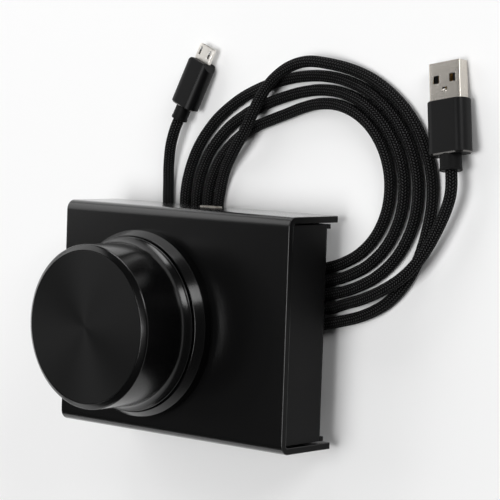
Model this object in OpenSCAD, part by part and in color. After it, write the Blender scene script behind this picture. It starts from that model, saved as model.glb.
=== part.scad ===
// Desktop USB volume control: a bent sheet case on rubber feet, a press-and-turn
// knob over a stepped bezel ring, and a braided micro-USB to USB-A cable.
// Origin on the desk, in the middle of the case. +Z is the knob axis, +Y the port side.

/* [Case] */
// Width of the top cover, side wall to side wall
case_w = 100; // [92:1:130]
// Depth of the top cover, flange to flange
case_d = 76; // [74:1:100]
// Height of the top cover from its flange edges to its face
cover_h = 24.4; // [23.6:0.2:32]
// Sheet thickness of the top cover
cover_t = 2.2; // [1.6:0.1:2.6]
// Outer bend radius of the top cover
cover_bend_r = 3.3; // [2.8:0.1:5]
// Sheet thickness of the base pan
pan_t = 1.5; // [1:0.1:2]
// Outer bend radius of the base pan
pan_bend_r = 2.2; // [2.1:0.1:3]
// How far the base pan sits above the flange edges
pan_lift = 2.5; // [1.5:0.1:3.5]
// How far the side walls stand inside the cut edges of the cover
side_inset = 1.2; // [0.8:0.1:2.5]
// Gap between the base pan and the cover all round
pan_gap = 0.5; // [0.3:0.1:0.9]
// Length of the lips left at the ends of each side wall bend
ear_len = 1.5; // [1:0.5:4]
// Drop of those lips below the base pan
ear_drop = 0.4; // [0.3:0.1:1]

/* [Feet and screws] */
// Height of a rubber foot
foot_h = 7.5; // [6.5:0.1:12]
// Diameter of a rubber foot at the case
foot_d = 10; // [9.4:0.2:12]
// Diameter of a rubber foot at the desk
foot_tip_d = 9.2; // [8.4:0.2:9.4]
// Height of the screw seat inside a foot
foot_seat = 3.4; // [2.6:0.1:4.5]
// Distance of the feet from the side edges of the cover
foot_inset_x = 14.5; // [12:0.5:18]
// Distance of the feet from the flange faces of the cover
foot_inset_y = 9; // [8.6:0.1:12]
// Diameter of the foot screws
screw_d = 2.8; // [2:0.1:3.2]
// Head diameter of the foot screws
screw_head_d = 5.4; // [4.6:0.1:6]
// Head height of the foot screws
screw_head_h = 1.9; // [1.2:0.1:2.4]
// Reach of the foot screws into the cover standoffs
screw_reach = 8; // [4:0.5:12]
// Diameter of the standoffs under the cover
standoff_d = 6; // [5:0.2:8]

/* [Knob] */
// Knob axis, measured along the width from the middle of the case
knob_x = -12.2; // [-16:0.1:12]
// Knob axis, measured along the depth from the middle of the case
knob_y = -1.1; // [-4:0.1:2]
// Diameter of the knob body
knob_d = 54; // [50:0.5:56]
// Diameter of the flared skirt at the foot of the knob
skirt_d = 58; // [57.4:0.2:60]
// Height of the flare
flare_h = 2.9; // [1.5:0.1:5]
// Height of the knob face above the cover
knob_h = 27.4; // [25:0.2:34]
// Wall thickness of the knob body
knob_wall = 2.8; // [2:0.1:4]
// Thickness of the knob top under the face disc
knob_top_t = 2.8; // [2:0.1:4]
// Width of the bright bevel round the face
bevel_w = 1.4; // [0.8:0.1:2]
// Depth of the bright bevel
bevel_h = 0.9; // [0.5:0.1:1]
// Width of the edge break below the bevel
edge_w = 0.5; // [0.3:0.1:0.8]
// Thickness of the face disc
disc_t = 1; // [0.6:0.1:1.6]
// How far the knob travels when it is pressed
press_travel = 0.5; // [0.2:0.1:0.6]
// Gap between the knob skirt and the bezel ring
skirt_gap = 0.8; // [0.7:0.1:1.2]
// Outer diameter of the knob hub
hub_d = 13; // [11.5:0.5:16]
// Diameter of the brass bush in the hub
bush_d = 8; // [7.6:0.1:10]
// Diameter of the grub screw
grub_d = 3; // [2.5:0.1:3.5]
// Height of the grub screw above the cover
grub_z = 14.5; // [13:0.5:17]

/* [Bezel ring] */
// Outer diameter of the bezel ring
bezel_d = 62.2; // [61:0.2:66]
// Height of its upright outer wall
bezel_wall_h = 3.4; // [2:0.1:4.5]
// Height of its top edge
bezel_h = 6.4; // [5.6:0.1:7.5]
// Diameter of its top edge
bezel_land_d = 58.8; // [57.4:0.2:60]
// Width of its flat top edge
bezel_land_w = 2.2; // [1.4:0.1:3]
// Thickness of its floor
bezel_floor = 1.2; // [0.8:0.1:2]

/* [Encoder] */
// Diameter of the shaft
shaft_d = 6; // [5:0.1:6]
// Depth of the flat on the shaft
shaft_flat = 0.5; // [0.3:0.1:1]
// Height of the shaft end above the cover
shaft_out = 20.4; // [19:0.2:21]
// Diameter of the threaded bushing
bushing_d = 7; // [7:0.1:8]
// Length of the bushing above its mounting plate
bushing_len = 7; // [6.4:0.1:8]
// Thickness of the mounting plate
mount_t = 0.8; // [0.6:0.1:1.2]
// Width of the encoder housing
enc_w = 12.4; // [11.6:0.2:14]
// Depth of the encoder housing
enc_d = 13.2; // [12.4:0.2:15]
// Height of the encoder housing
enc_h = 5.7; // [5.5:0.1:6.5]
// Width across the flats of the nut
nut_af = 10; // [9.6:0.2:12]
// Thickness of the nut
nut_t = 2; // [1.4:0.1:2.4]
// Thickness of the lock washer
washer_t = 0.5; // [0.3:0.1:0.8]
// Diameter of the lock washer
washer_d = 11.6; // [11:0.2:14]

/* [Circuit boards] */
// Thickness of both boards
board_t = 1.6; // [1:0.1:2]
// Width of the main board
board_w = 60; // [52:1:62]
// Depth of the main board
board_d = 52; // [46:1:54]
// Distance of the main board from the rear flange
board_gap = 1.3; // [0.8:0.1:2]
// Distance of the board screws from the board edges
board_screw_inset = 4; // [3.5:0.1:6]
// Diameter of the board standoffs
board_post_d = 5; // [4.4:0.2:6]
// Width of the encoder board
enc_board_w = 24; // [20:0.5:30]
// Depth of the encoder board
enc_board_d = 22; // [21.5:0.5:26]
// Number of pins that join the boards
pin_count = 6; // [4:1:7]
// Pitch of those pins
pin_pitch = 2.54; // [2:0.01:2.54]

/* [USB port] */
// Middle of the port along the width
port_x = 0; // [-8:0.5:8]
// Width of the notch in the rear flange
port_w = 9.2; // [9:0.1:14]
// Height of the notch in the rear flange
port_h = 8.3; // [8.2:0.1:10]
// Width of the port shell
jack_w = 7.5; // [7:0.1:7.8]
// Height of the port shell
jack_h = 2.6; // [2.4:0.1:2.8]
// Length of the port shell
jack_len = 6; // [5:0.1:8]
// Gap between the port shell and the base pan
jack_gap = 0.7; // [0.4:0.1:1.2]
// How far the flared mouth stands out of the flange
jack_proud = 0.4; // [0.2:0.1:0.6]

/* [Cable] */
// Diameter of the braided cable
cable_d = 3.8; // [3:0.1:3.8]
// Width of the USB-A plug housing
usb_w = 14.6; // [14:0.1:16]
// Thickness of the USB-A plug housing
usb_t = 7.4; // [7.2:0.1:8.6]
// Length of the USB-A plug housing
usb_len = 17.2; // [16:0.1:22]
// Width of the USB-A shell
usb_shell_w = 12; // [11.8:0.1:12.2]
// Height of the USB-A shell
usb_shell_h = 4.5; // [4.3:0.1:4.7]
// Length of the USB-A shell
usb_shell_len = 12; // [11:0.1:13]
// Width of the micro plug housing
micro_w = 10.4; // [9.6:0.1:11]
// Thickness of the micro plug housing
micro_t = 6.4; // [5.8:0.1:7]
// Length of the micro plug housing
micro_len = 17; // [14:0.1:18]
// Width of the micro plug shell
micro_shell_w = 6.85; // [6.7:0.05:7]
// Height of the micro plug shell
micro_shell_h = 1.8; // [1.7:0.05:1.9]
// Length of the micro plug shell
micro_shell_len = 5.3; // [4.8:0.1:6]
// Wall of both metal plug shells
shell_wall = 0.3; // [0.25:0.05:0.35]

/* [Hidden] */
$fn = 72;
eps = 0.01;
fit = 0.1;          // running and assembly clearance on a diameter

// Heights above the desk
flange_z = foot_h - pan_lift;
plate_z = flange_z + cover_h;
plate_in_z = plate_z - cover_t;
pan_in_z = foot_h + pan_t;
wall_top_z = plate_in_z - pan_gap;
housing_top_z = plate_in_z - mount_t;
housing_z = housing_top_z - enc_h;
enc_board_z = housing_z - board_t;
post_h = jack_h + jack_gap;
board_z = pan_in_z + post_h;
board_top_z = board_z + board_t;

// Plan positions
foot_x = case_w / 2 - foot_inset_x;
foot_y = case_d / 2 - foot_inset_y;
pan_w = case_w - 2 * side_inset;
pan_d = case_d - 2 * cover_t - 2 * pan_gap;
board_rear_y = case_d / 2 - cover_t - board_gap;
board_mid_y = board_rear_y - board_d / 2;
header_y = 9;                  // from the knob axis
enc_board_mid_y = 2;           // from the knob axis

// Encoder inside: a shaft collar in a round cavity over a square plunger
bore_d = shaft_d + 0.3;
collar_d = shaft_d + 2.6;
collar_t = 1.2;
collar_z = housing_top_z - collar_t - fit;
cavity_d = collar_d + 0.8;
cavity_z = collar_z - press_travel - 0.2;
plunger_w = 4;
plunger_h = 1.7;
plunger_room = 0.6;
plunger_z = collar_z - plunger_h;
terminal_spots = [[-2.5, -5.1], [0, -5.1], [2.5, -5.1], [-2.5, 5.1], [2.5, 5.1]];
terminal_w = 0.8;
pin_w = 0.6;
pin_hole_d = 1.1;
pin_stub = 0.6;
header_w = 2.5;

// Parts on the main board, measured from its right edge
part_x = board_w / 2 - 14;
cap_x = board_w / 2 - 6;
crystal_w = 4.4;
crystal_span = 6.4;
crystal_h = 2.6;
cap_len = 3.2;
cap_w = 1.6;
cap_h = 1;
cap_pitch = 3;

// Knob, heights above the cover face
skirt_z = bezel_h + skirt_gap;
skirt_edge = 0.4;
cap_d = knob_d - 2 * bevel_w - 2 * edge_w;
seat_z = knob_h - disc_t;
ceiling_z = seat_z - knob_top_t;
hub_z = skirt_z + 1.2;
hub_pin_d = hub_d - 4;         // the hub's spigot, pressed into the knob's top
hub_pin_h = 1.2;
bush_top = shaft_out + 1.2;
bush_wall_flat = shaft_d / 2 - shaft_flat;

// Cable route on the desk: a flat spiral, not quite round. Its radius and its step
// from turn to turn are each a mean and three waves round the circle, cosine and sine
coil_x = 33;
coil_y = 47;
coil_zero = 170;
coil_from = 200;
coil_to = 1365;
coil_step = 15;
coil_waves = [29.4, -0.9, -3.9, 4.6, 3.7, -0.8, -1.2];
coil_pitch_waves = [5.1, -0.26, 0.25, 0.43, -0.4, 0.33, -0.03];
cable_z = cable_d / 2;
coil_sides = 6;
lead_sides = 8;

// Each plug lies on the lower front edge of its housing, a little mouth down
usb_place = [91.4, 76, 0];
usb_turn = 10;
usb_pitch = -7;
plug_bevel = 0.8;
usb_collar_d = 7.2;
usb_collar_len = 5;
micro_place = [-13, 86.6, 0];
micro_turn = -23;
micro_pitch = -5;
micro_collar_d = 5.6;
micro_collar_len = 4.8;
latch_x = 2.1;

// Hand-laid points of the two leads, plug end first, coil end last
micro_points = [
    [-25.3, 57.6, 4.7], [-27.4, 51, 3.1], [-28.3, 44.5, 2], [-28.2, 37.5, 1.9], [-27.2, 29.5, 1.9],
    [-24.3, 21.6, 1.9], [-15.9, 12.7, 1.9], [-7, 5.5, 1.9], [3.2, 1.1, 1.9], [13.7, -0.8, 1.9],
    [23.7, -0.8, 1.9], [33, 0.3, 1.9], [41.8, 1.8, 1.9], [50.5, 3.7, 1.9], [59.4, 6.3, 1.9],
    [68.1, 10.7, 1.9], [75.3, 17.4, 1.9], [80.5, 25.9, 1.9], [83.6, 35.3, 1.9], [85.1, 45.2, 1.9],
    [83.9, 55.1, 1.9], [80.1, 64.2, 1.9], [74.4, 71.9, 1.9], [67.3, 77.9, 1.9], [59.6, 82.3, 1.9],
    [51.7, 85.3, 3.2], [43.7, 87, 5.3], [35.8, 87.5, 6.4], [28.3, 85.6, 6.4], [21.8, 81.6, 6.4],
    [16.8, 76.2, 6.4], [13.3, 70.5, 6.4], [10.5, 65.2, 6.4], [7.4, 60.6, 6.3], [3.6, 56, 5.3],
    [-0.9, 50.6, 3.4], [-4, 43.8, 2]];
usb_points = [
    [52.5, 9.5, 2.6], [61, 11.8, 5.2], [69.5, 15.2, 6.4], [77, 19.6, 6.4], [82.7, 24.6, 6.4],
    [87.4, 30.6, 6.4], [91.1, 36.8, 6.4], [94, 42.6, 6.6], [95.6, 47.2, 6.9]];

function unit(v) = v / norm(v);

function waves(w, angle) =
    w[0] + w[1] * cos(angle) + w[2] * sin(angle) + w[3] * cos(2 * angle) + w[4] * sin(2 * angle)
    + w[5] * cos(3 * angle) + w[6] * sin(3 * angle);

function coil_point(angle) =
    let (r = waves(coil_waves, angle) + (angle - coil_zero) / 360 * waves(coil_pitch_waves, angle))
    [coil_x + r * cos(angle), coil_y + r * sin(angle), cable_z];

function coil_heading(angle) = unit(coil_point(angle + 1) - coil_point(angle - 1));

// Turned by the pitch and then by the heading, as the plug modules are
function laid(place, turn, pitch, y, z) =
    let (yy = y * cos(pitch) - z * sin(pitch), zz = y * sin(pitch) + z * cos(pitch))
    place + [-yy * sin(turn), yy * cos(turn), zz];

coil_start = coil_point(coil_from) - cable_d * coil_heading(coil_from);
coil_end = coil_point(coil_to) + cable_d * coil_heading(coil_to);
coil_path = concat([coil_start],
                   [for (angle = [coil_from : coil_step : coil_to + eps]) coil_point(angle)],
                   [coil_point(coil_to), coil_end]);

usb_rear = laid(usb_place, usb_turn, usb_pitch, -usb_len - usb_collar_len, usb_t / 2);
usb_axis = unit(usb_rear - laid(usb_place, usb_turn, usb_pitch, 0, usb_t / 2));
micro_rear = laid(micro_place, micro_turn, micro_pitch, -micro_len - micro_collar_len, micro_t / 2);
micro_axis = unit(micro_rear - laid(micro_place, micro_turn, micro_pitch, 0, micro_t / 2));

micro_path = concat([micro_rear, micro_rear + cable_d * micro_axis], micro_points, [coil_start]);
usb_path = concat([usb_rear, usb_rear + cable_d * usb_axis],
                  [for (i = [len(usb_points) - 1 : -1 : 0]) usb_points[i]], [coil_end]);

// Distance from a point to a stretch of the path
function reach(p, a, b) =
    let (s = max(0, min(1, (p - a) * (b - a) / ((b - a) * (b - a))))) norm(p - a - s * (b - a));

coil_skip = 180 / coil_step;
coil_gap = min([for (i = [0 : len(coil_path) - 1])
                for (j = [i + coil_skip : 1 : len(coil_path) - 2])
                reach(coil_path[i], coil_path[j], coil_path[j + 1])]) - cable_d;
echo(least_gap_in_coil = coil_gap);

// Heading of a path at each of its points, with its first and last ones given
function headings(path, first, last) =
    [for (i = [0 : len(path) - 1])
        i == 0 ? first : i == len(path) - 1 ? last : unit(path[i + 1] - path[i - 1])];

function ring(p, heading, r, sides) =
    let (side = unit(cross(heading, [0, 0, 1])), up = cross(side, heading))
    [for (k = [0 : sides - 1])
        let (a = 360 * (k + 0.5) / sides) p + r * (cos(a) * side + sin(a) * up)];

// One unbroken tube through the points of a path
module tube(path, first, last, d, sides) {
    turns = headings(path, first, last);
    rings = len(path);
    points = [for (i = [0 : rings - 1]) each ring(path[i], turns[i], d / 2, sides)];
    walls = [for (i = [0 : rings - 2]) for (k = [0 : sides - 1])
        let (a = i * sides + k, b = i * sides + (k + 1) % sides)
        each [[a, b, b + sides], [a, b + sides, a + sides]]];
    start_cap = [for (k = [1 : sides - 2]) [0, k + 1, k]];
    end_cap = [for (k = [1 : sides - 2]) (rings - 1) * sides * [1, 1, 1] + [0, k, k + 1]];
    polyhedron(points, concat(walls, start_cap, end_cap));
}

// Sheet section with two rounded upper corners, standing on the X axis
module bent_top(w, h, r) {
    translate([-w / 2, 0]) square([w, h - r]);
    translate([-w / 2 + r, 0]) square([w - 2 * r, h]);
    for (side = [-1, 1]) translate([side * (w / 2 - r), h - r]) circle(r);
}

module rounded_bar(w, h, r) {
    square([w - 2 * r, h], center = true);
    square([w, h - 2 * r], center = true);
    for (sx = [-1, 1], sy = [-1, 1]) translate([sx * (w / 2 - r), sy * (h / 2 - r)]) circle(r);
}

module at_feet() {
    for (sx = [-1, 1], sy = [-1, 1]) translate([sx * foot_x, sy * foot_y, 0]) children();
}

module at_posts() {
    for (sx = [-1, 1], sy = [-1, 1])
        translate([sx * (board_w / 2 - board_screw_inset),
                   board_mid_y + sy * (board_d / 2 - board_screw_inset), 0]) children();
}

module on_knob_axis(z = 0) translate([knob_x, knob_y, z]) children();

// ---- case ----

module top_cover() color("#202022")
    difference() {
        translate([-case_w / 2, 0, flange_z]) rotate([90, 0, 90]) linear_extrude(case_w)
            difference() {
                bent_top(case_d, cover_h, cover_bend_r);
                translate([0, -eps])
                    bent_top(case_d - 2 * cover_t, cover_h - cover_t + eps,
                             max(0.2, cover_bend_r - cover_t));
            }
        on_knob_axis(plate_in_z - 1) cylinder(d = bushing_d + 0.2, h = cover_t + 2);
        translate([port_x - port_w / 2, case_d / 2 - cover_t - 1, flange_z - 1])
            cube([port_w, cover_t + 2, port_h + 1]);
    }

module base_pan() color("#19191b") {
    wall_h = wall_top_z - foot_h;
    difference() {
        union() {
            translate([0, 0, wall_top_z]) rotate([90, 0, 0])
                linear_extrude(pan_d, center = true) mirror([0, 1])
                difference() {
                    bent_top(pan_w, wall_h, pan_bend_r);
                    translate([0, -eps])
                        bent_top(pan_w - 2 * pan_t, wall_h - pan_t + eps, pan_bend_r - pan_t);
                }
            for (sx = [-1, 1], sy = [-1, 1])
                translate([sx * (pan_w - pan_t) / 2, sy * (pan_d - ear_len) / 2,
                           foot_h + (pan_t - ear_drop) / 2])
                    cube([pan_t, ear_len, pan_t + ear_drop], center = true);
        }
        at_feet() translate([0, 0, foot_h - 1]) cylinder(d = screw_d + 0.6, h = pan_t + 2);
    }
}

module cover_standoffs() color("#b9bcc0")
    at_feet() translate([0, 0, pan_in_z]) difference() {
        cylinder(d = standoff_d, h = plate_in_z - pan_in_z);
        translate([0, 0, -1]) cylinder(d = screw_d + fit, h = screw_reach + 2);
    }

module rubber_foot() color("#141414")
    rotate_extrude() polygon([
        [screw_head_d / 2 + 0.3, 0], [foot_tip_d / 2 - 0.6, 0], [foot_tip_d / 2, 0.6],
        [foot_d / 2, foot_h], [screw_d / 2 + 0.2, foot_h],
        [screw_d / 2 + 0.2, foot_seat], [screw_head_d / 2 + 0.3, foot_seat]]);

module foot_front_left() translate([-foot_x, -foot_y, 0]) rubber_foot();
module foot_front_right() translate([foot_x, -foot_y, 0]) rubber_foot();
module foot_rear_left() translate([-foot_x, foot_y, 0]) rubber_foot();
module foot_rear_right() translate([foot_x, foot_y, 0]) rubber_foot();

module foot_screws() color("#8f9296")
    at_feet() difference() {
        union() {
            translate([0, 0, foot_seat - screw_head_h]) cylinder(d = screw_head_d, h = screw_head_h);
            cylinder_from(foot_seat - eps, pan_in_z + screw_reach, screw_d);
        }
        for (turn = [0, 90]) translate([0, 0, foot_seat - screw_head_h]) rotate(turn)
            cube([screw_head_d * 0.6, 0.7, 1.6], center = true);
    }

module cylinder_from(z0, z1, d) translate([0, 0, z0]) cylinder(d = d, h = z1 - z0);

// ---- knob bezel and encoder ----

module bezel_ring() color("#1b1b1d")
    on_knob_axis(plate_z) rotate_extrude($fn = 144) polygon([
        [bushing_d / 2 + 0.1, 0], [bezel_d / 2, 0], [bezel_d / 2, bezel_wall_h],
        [bezel_land_d / 2, bezel_h], [bezel_land_d / 2 - bezel_land_w, bezel_h],
        [bezel_land_d / 2 - bezel_land_w, bezel_floor], [bushing_d / 2 + 0.1, bezel_floor]]);

module lock_washer() color("#a8abb0")
    on_knob_axis(plate_z + bezel_floor) difference() {
        cylinder(d = washer_d, h = washer_t);
        translate([0, 0, -1]) cylinder(d = bushing_d + fit, h = washer_t + 2);
        for (a = [0 : 45 : 315]) rotate(a)
            translate([washer_d / 2, 0, washer_t / 2]) cube([1.6, 0.9, 2], center = true);
    }

module encoder_nut() color("#c4c6ca")
    on_knob_axis(plate_z + bezel_floor + washer_t) difference() {
        cylinder(d = nut_af / cos(30), h = nut_t, $fn = 6);
        translate([0, 0, -1]) cylinder(d = bushing_d + fit, h = nut_t + 2);
    }

module encoder_bushing() color("#c9cbce")
    on_knob_axis(housing_top_z) difference() {
        union() {
            translate([-enc_w / 2, -enc_d / 2, 0]) cube([enc_w, enc_d, mount_t]);
            cylinder(d = bushing_d, h = mount_t + bushing_len);
        }
        translate([0, 0, -1]) cylinder(d = bore_d, h = mount_t + bushing_len + 2);
    }

module encoder_housing() color("#26352c")
    on_knob_axis() difference() {
        translate([-enc_w / 2, -enc_d / 2, housing_z]) cube([enc_w, enc_d, enc_h]);
        cylinder_from(cavity_z, housing_top_z + 1, cavity_d);
        translate([0, 0, plunger_z - plunger_room + 10])
            cube([plunger_w + 0.6, plunger_w + 0.6, 20], center = true);
    }

module encoder_terminals() color("#d8d2b8")
    on_knob_axis(enc_board_z - 0.8)
        for (spot = terminal_spots) translate([spot[0], spot[1], (board_t + 0.8) / 2])
            cube([terminal_w, 0.5, board_t + 0.8], center = true);

module encoder_board() color("#1f5a38")
    on_knob_axis(enc_board_z) difference() {
        translate([-enc_board_w / 2, enc_board_mid_y - enc_board_d / 2, 0])
            cube([enc_board_w, enc_board_d, board_t]);
        for (spot = terminal_spots) translate([spot[0], spot[1], -1])
            cylinder(d = terminal_w + 0.5, h = board_t + 2);
        header_holes();
    }

module header_holes()
    for (i = [0 : pin_count - 1])
        translate([(i - (pin_count - 1) / 2) * pin_pitch, header_y, -1])
            cylinder(d = pin_hole_d, h = board_t + 2);

module board_header() color("#17171a")
    on_knob_axis() {
        gap = enc_board_z - board_top_z;
        for (i = [0 : pin_count - 1])
            translate([(i - (pin_count - 1) / 2) * pin_pitch, header_y, 0]) {
                translate([-pin_pitch / 2, -header_w / 2, board_top_z])
                    cube([pin_pitch, header_w, gap]);
                translate([-pin_w / 2, -pin_w / 2, board_z - pin_stub])
                    cube([pin_w, pin_w, gap + 2 * board_t + 2 * pin_stub]);
            }
    }

// ---- main board ----

module main_board() color("#1f5a38")
    difference() {
        translate([-board_w / 2, board_mid_y - board_d / 2, board_z])
            cube([board_w, board_d, board_t]);
        at_posts() translate([0, 0, board_z - 1]) cylinder(d = 2.8, h = board_t + 2);
        on_knob_axis(board_z) header_holes();
    }

module board_posts() color("#b9bcc0")
    at_posts() difference() {
        cylinder_from(pan_in_z, board_z, board_post_d);
        cylinder_from(pan_in_z - 1, board_z + 1, 2.5);
    }

module board_screws() color("#9a9da2")
    at_posts() difference() {
        union() {
            cylinder_from(board_top_z, board_top_z + 1.6, 4.4);
            cylinder_from(pan_in_z + 0.4, board_top_z + eps, 2.4);
        }
        for (turn = [0, 90]) translate([0, 0, board_top_z + 1.6]) rotate(turn)
            cube([2.6, 0.5, 1.4], center = true);
    }

module port_shell() color("#c8cacd") {
    mouth = case_d / 2 + jack_proud;
    middle = board_z - jack_h / 2;
    lip = 0.4;
    difference() {
        translate([port_x, mouth - jack_len / 2, middle]) cube([jack_w, jack_len, jack_h], center = true);
        translate([port_x, mouth - jack_len / 2 + shell_wall, middle])
            cube([jack_w - 2 * shell_wall, jack_len, jack_h - 2 * shell_wall], center = true);
    }
    for (sx = [-1, 1]) {
        translate([port_x + sx * (jack_w / 4 + 0.25), mouth - shell_wall / 2, middle + jack_h / 2 + lip / 2 - eps])
            cube([jack_w / 2 - 1.1, shell_wall, lip + 2 * eps], center = true);
        translate([port_x + sx * (jack_w / 2 + lip / 2 - eps), mouth - shell_wall / 2, middle])
            cube([lip + 2 * eps, shell_wall, jack_h - 0.8], center = true);
    }
    translate([port_x, mouth - shell_wall / 2, middle - jack_h / 2 - lip / 2 + eps])
        cube([jack_w - 2.4, shell_wall, lip + 2 * eps], center = true);
}

module port_tongue() color("#101012") {
    back = case_d / 2 + jack_proud - jack_len + shell_wall;
    translate([port_x - 1.8, back, board_z - jack_h / 2 - 0.05]) cube([3.6, jack_len - 2, 0.6]);
    translate([port_x - jack_w / 2 + shell_wall, back, board_z - jack_h + shell_wall])
        cube([jack_w - 2 * shell_wall, 1, jack_h - 2 * shell_wall]);
}

module controller_chip() color("#1a1a1c") {
    chip = 7;
    translate([part_x, board_mid_y + 2, board_top_z]) {
        translate([-chip / 2, -chip / 2, 0.15]) cube([chip, chip, 1.2]);
        for (turn = [0 : 90 : 270], i = [-2.5 : 1 : 2.5]) rotate(turn)
            translate([chip / 2 - eps, i - 0.2, 0]) {
                cube([0.5, 0.4, 0.6]);
                cube([1.1, 0.4, 0.2]);
            }
    }
}

module crystal_can() color("#bfc2c6")
    translate([part_x, board_mid_y - 9, board_top_z]) {
        translate([-crystal_span / 2, -crystal_w / 2, 0]) cube([crystal_span, crystal_w, crystal_h]);
        for (sx = [-1, 1]) translate([sx * crystal_span / 2, 0, 0])
            cylinder(d = crystal_w, h = crystal_h);
    }

module chip_capacitors() color("#a98c66")
    for (i = [0 : 5])
        translate([cap_x - cap_len / 2, board_mid_y + (i - 2) * cap_pitch - cap_w / 2, board_top_z])
            cube([cap_len, cap_w, cap_h]);

// ---- moving pieces ----

module push_plunger() color("#e8e4d8")
    on_knob_axis(plunger_z) translate([-plunger_w / 2, -plunger_w / 2, 0])
        cube([plunger_w, plunger_w, plunger_h]);

module encoder_shaft() color("#c9cbce")
    on_knob_axis() difference() {
        union() {
            cylinder_from(collar_z, collar_z + collar_t, collar_d);
            cylinder_from(collar_z, plate_z + shaft_out, shaft_d);
        }
        translate([-shaft_d / 2 - 10 + shaft_flat, 0, plate_z + hub_z + 10])
            cube([20, 20, 20 + eps], center = true);
        translate([-shaft_d / 2 - 10 + shaft_flat, 0, plate_z + hub_z + 20])
            cube([20, 20, 20], center = true);
    }

module knob_shell() color("#232325")
    on_knob_axis(plate_z) difference() {
        rotate_extrude($fn = 144) polygon([
            [0, ceiling_z + hub_pin_h], [hub_pin_d / 2, ceiling_z + hub_pin_h],
            [hub_pin_d / 2, ceiling_z], [knob_d / 2 - knob_wall, ceiling_z],
            [knob_d / 2 - knob_wall, skirt_z + flare_h], [skirt_d / 2 - knob_wall, skirt_z],
            [skirt_d / 2, skirt_z], [skirt_d / 2, skirt_z + skirt_edge],
            [knob_d / 2, skirt_z + flare_h], [knob_d / 2, knob_h - bevel_h - edge_w],
            [knob_d / 2 - edge_w, knob_h - bevel_h], [cap_d / 2, knob_h],
            [cap_d / 2, seat_z], [0, seat_z]]);
        translate([-knob_d / 2 + knob_wall + 1, 0, grub_z]) rotate([0, -90, 0])
            cylinder(d = grub_d + 0.6, h = knob_wall + 2);
    }

module knob_hub() color("#1b1b1d")
    on_knob_axis(plate_z) difference() {
        rotate_extrude() polygon([
            [0, bush_top], [bush_d / 2, bush_top], [bush_d / 2, hub_z], [hub_d / 2, hub_z],
            [hub_d / 2, ceiling_z], [hub_pin_d / 2 - fit / 2, ceiling_z],
            [hub_pin_d / 2 - fit / 2, ceiling_z + hub_pin_h], [0, ceiling_z + hub_pin_h]]);
        translate([-bush_d / 2 + 1, 0, grub_z]) rotate([0, -90, 0])
            cylinder(d = grub_d + fit, h = hub_d / 2);
    }

module knob_disc() color("#2c2c2e")
    on_knob_axis(plate_z + seat_z) rotate_extrude($fn = 144) polygon([
        [0, 0], [cap_d / 2 - fit / 2, 0], [cap_d / 2 - fit / 2, disc_t - 0.2],
        [cap_d / 2 - fit / 2 - 0.2, disc_t], [0, disc_t]]);

module knob_bush() color("#c2a35a")
    on_knob_axis(plate_z) difference() {
        cylinder_from(hub_z, bush_top, bush_d - fit / 2);
        intersection() {
            cylinder_from(hub_z - 1, shaft_out + fit, shaft_d + fit);
            translate([10 - bush_wall_flat - fit / 2, 0, hub_z + 10]) cube([20, 20, 40], center = true);
        }
        translate([0, 0, grub_z]) rotate([0, -90, 0]) cylinder(d = grub_d + fit, h = bush_d);
    }

module grub_screw() color("#5c5e62")
    on_knob_axis(plate_z + grub_z) rotate([0, -90, 0]) difference() {
        cylinder_from(bush_wall_flat, hub_d / 2 + 0.4, grub_d);
        translate([0, 0, hub_d / 2 - 1.2]) cylinder(d = 1.7, h = 3, $fn = 6);
    }

// ---- cable ----

module cable_coil() color("#151515")
    tube(coil_path, coil_heading(coil_from), coil_heading(coil_to), cable_d, coil_sides);

module micro_lead() color("#151515")
    tube(micro_path, micro_axis, coil_heading(coil_from), cable_d, lead_sides);

module usb_lead() color("#151515")
    tube(usb_path, usb_axis, -coil_heading(coil_to), cable_d, lead_sides);

module at_usb_plug() translate(usb_place) rotate([usb_pitch, 0, usb_turn]) children();
module at_micro_plug() translate(micro_place) rotate([micro_pitch, 0, micro_turn]) children();

// Runs from y = 0 back to y = -length, its underside on z = 0: the rounded section
// is cut by a side view and a plan view, which hold the rear bevel and the front corners
module plug_body(w, t, r, length, bevel, nose) {
    tail = bevel - length;
    intersection() {
        translate([0, 0, t / 2]) rotate([90, 0, 0]) linear_extrude(length) rounded_bar(w, t, r);
        rotate([90, 0, 90]) linear_extrude(w + 2, center = true) polygon([
            [1, -1], [1, t + 1], [tail + 1, t + 1], [tail - bevel - 1, t - bevel - 1],
            [tail - bevel - 1, bevel + 1], [tail + 1, -1]]);
        translate([0, 0, -1]) linear_extrude(t + 2) polygon([
            [-w / 2 - 1, -nose - 1], [-w / 2 + nose + 1, 1],
            [w / 2 - nose - 1, 1], [w / 2 + 1, -nose - 1],
            [w / 2 + 1, tail + 1], [w / 2 - bevel - 1, tail - bevel - 1],
            [-w / 2 + bevel + 1, tail - bevel - 1], [-w / 2 - 1, tail + 1]]);
    }
}

module plug_collar(t, length, d, collar_len)
    translate([0, -length, t / 2]) rotate([90, 0, 0]) {
        cylinder(d = d, h = collar_len - 0.8);
        translate([0, 0, collar_len - 0.8 - eps]) cylinder(d1 = d, d2 = d - 0.8, h = 0.8 + eps);
    }

module micro_plug_housing() color("#1c1c1e")
    at_micro_plug() plug_body(micro_w, micro_t, 1.8, micro_len, plug_bevel, 2.2);

module micro_plug_collar() color("#141416")
    at_micro_plug() plug_collar(micro_t, micro_len, micro_collar_d, micro_collar_len);

module micro_section(inset) {
    w = micro_shell_w / 2 - inset;
    h = micro_shell_h / 2 - inset;
    cut = 0.6;
    polygon([[-w, h], [w, h], [w, -h + cut], [w - cut, -h], [-w + cut, -h], [-w, -h + cut]]);
}

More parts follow.
